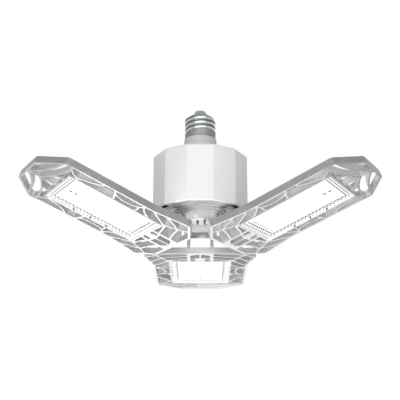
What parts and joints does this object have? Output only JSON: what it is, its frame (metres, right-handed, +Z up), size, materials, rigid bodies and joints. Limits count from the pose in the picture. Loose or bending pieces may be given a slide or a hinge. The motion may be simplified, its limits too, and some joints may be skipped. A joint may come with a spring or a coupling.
{
  "type": "led garage light",
  "caption": "Screw-in garage light: a faceted driver housing on a medium screw cap, with tilting LED panels in open lattice heat-sink frames.",
  "frame": {"origin": "on the cap's axis, half way up the threaded shell of the screw cap", "axes": "+Z up along the cap's axis, towards the centre contact and the socket; -Y is the side that faces the camera, where the gap between two panels is; the rear panel points along +Y"},
  "size_m": [0.2794, 0.2536, 0.1259],
  "materials": {
    "cap_steel": "bright plated, lightly worn",
    "contact_metal": "satin solder",
    "insulator": "black glass",
    "collar_white": "satin",
    "housing_white": "satin moulded",
    "cover_white": "satin moulded",
    "driver_pcb": "green solder mask",
    "transformer": "yellow tape over ferrite",
    "capacitor": "black sleeve",
    "choke": "enamelled copper on ferrite",
    "lead": "white insulation",
    "panel_metal": "grey coated casting, its underside faces left bright",
    "led_pcb": "white solder mask on aluminium",
    "led": "yellow phosphor, emissive",
    "lens": "opal, prismatic border, emissive",
    "screw_steel": "zinc plated",
    "nut_metal": "satin",
    "washer": "black friction washer"
  },
  "bodies": {
    "housing": {"centre_contact": "contact_metal", "cap_insulator": "insulator", "screw_shell": "cap_steel", "collar": "collar_white", "housing": "housing_white", "base_cover": "cover_white", "driver_board": "driver_pcb", "driver_transformer": "transformer", "driver_capacitors": "capacitor", "driver_choke": "choke", "cap_leads": "lead"},
    "left_panel": {"left_frame": "panel_metal", "left_led_board": "led_pcb", "left_leds": "led", "left_lens": "lens", "left_board_screws": "screw_steel", "left_hinge_screw": "screw_steel", "left_hinge_nut": "nut_metal", "left_hinge_washers": "washer"},
    "right_panel": {"right_frame": "panel_metal", "right_led_board": "led_pcb", "right_leds": "led", "right_lens": "lens", "right_board_screws": "screw_steel", "right_hinge_screw": "screw_steel", "right_hinge_nut": "nut_metal", "right_hinge_washers": "washer"},
    "rear_panel": {"rear_frame": "panel_metal", "rear_led_board": "led_pcb", "rear_leds": "led", "rear_lens": "lens", "rear_board_screws": "screw_steel", "rear_hinge_screw": "screw_steel", "rear_hinge_nut": "nut_metal", "rear_hinge_washers": "washer"}
  },
  "joints": [
    {"name": "left_tilt", "type": "hinge", "parent": "housing", "child": "left_panel", "pos_m": [-0.02425, -0.014, -0.083], "axis": [-0.5, 0.866, 0], "range_deg": [-21.5, 70.5]},
    {"name": "right_tilt", "type": "hinge", "parent": "housing", "child": "right_panel", "pos_m": [0.02425, -0.014, -0.083], "axis": [-0.5, -0.866, 0], "range_deg": [-21.5, 70.5]},
    {"name": "rear_tilt", "type": "hinge", "parent": "housing", "child": "rear_panel", "pos_m": [0, 0.028, -0.083], "axis": [1, 0, 0], "range_deg": [-0.5, 91.5]}
  ]
}
